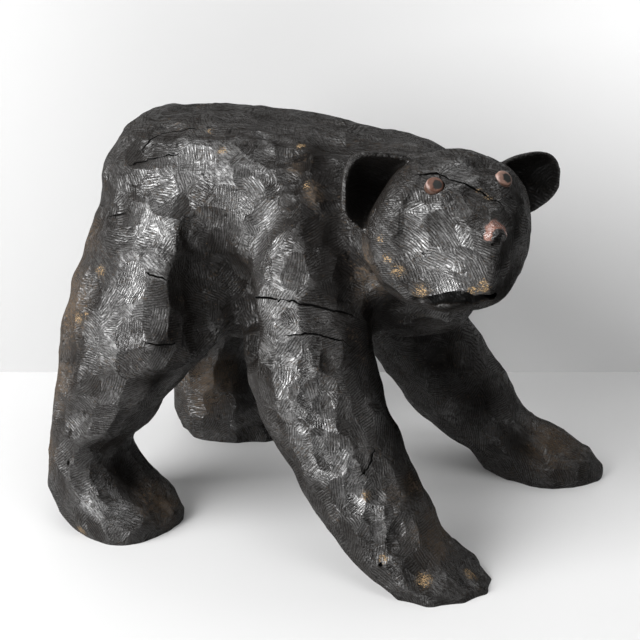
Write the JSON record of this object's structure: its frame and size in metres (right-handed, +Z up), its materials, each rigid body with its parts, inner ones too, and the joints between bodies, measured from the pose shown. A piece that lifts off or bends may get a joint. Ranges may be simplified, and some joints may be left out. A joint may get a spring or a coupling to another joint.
{
  "type": "carved bear sculpture",
  "caption": "Standing bear on all fours, chainsaw carved from a single log, with splayed legs, cupped ears and the head turned to its right, finished as dark stained wood with round plug eyes.",
  "frame": {"origin": "on the ground under the middle of the bear's box", "axes": "+X the way the bear walks, +Y to its left, +Z up"},
  "size_m": [0.8931, 0.6223, 0.689],
  "materials": {
    "stained_wood": "black-brown stain, rubbed to a satin sheen",
    "eye_wood": "copper-brown stain, satin"
  },
  "bodies": {
    "root": {"bear": "stained_wood", "eye_right": "eye_wood", "eye_left": "eye_wood"}
  },
  "joints": []
}
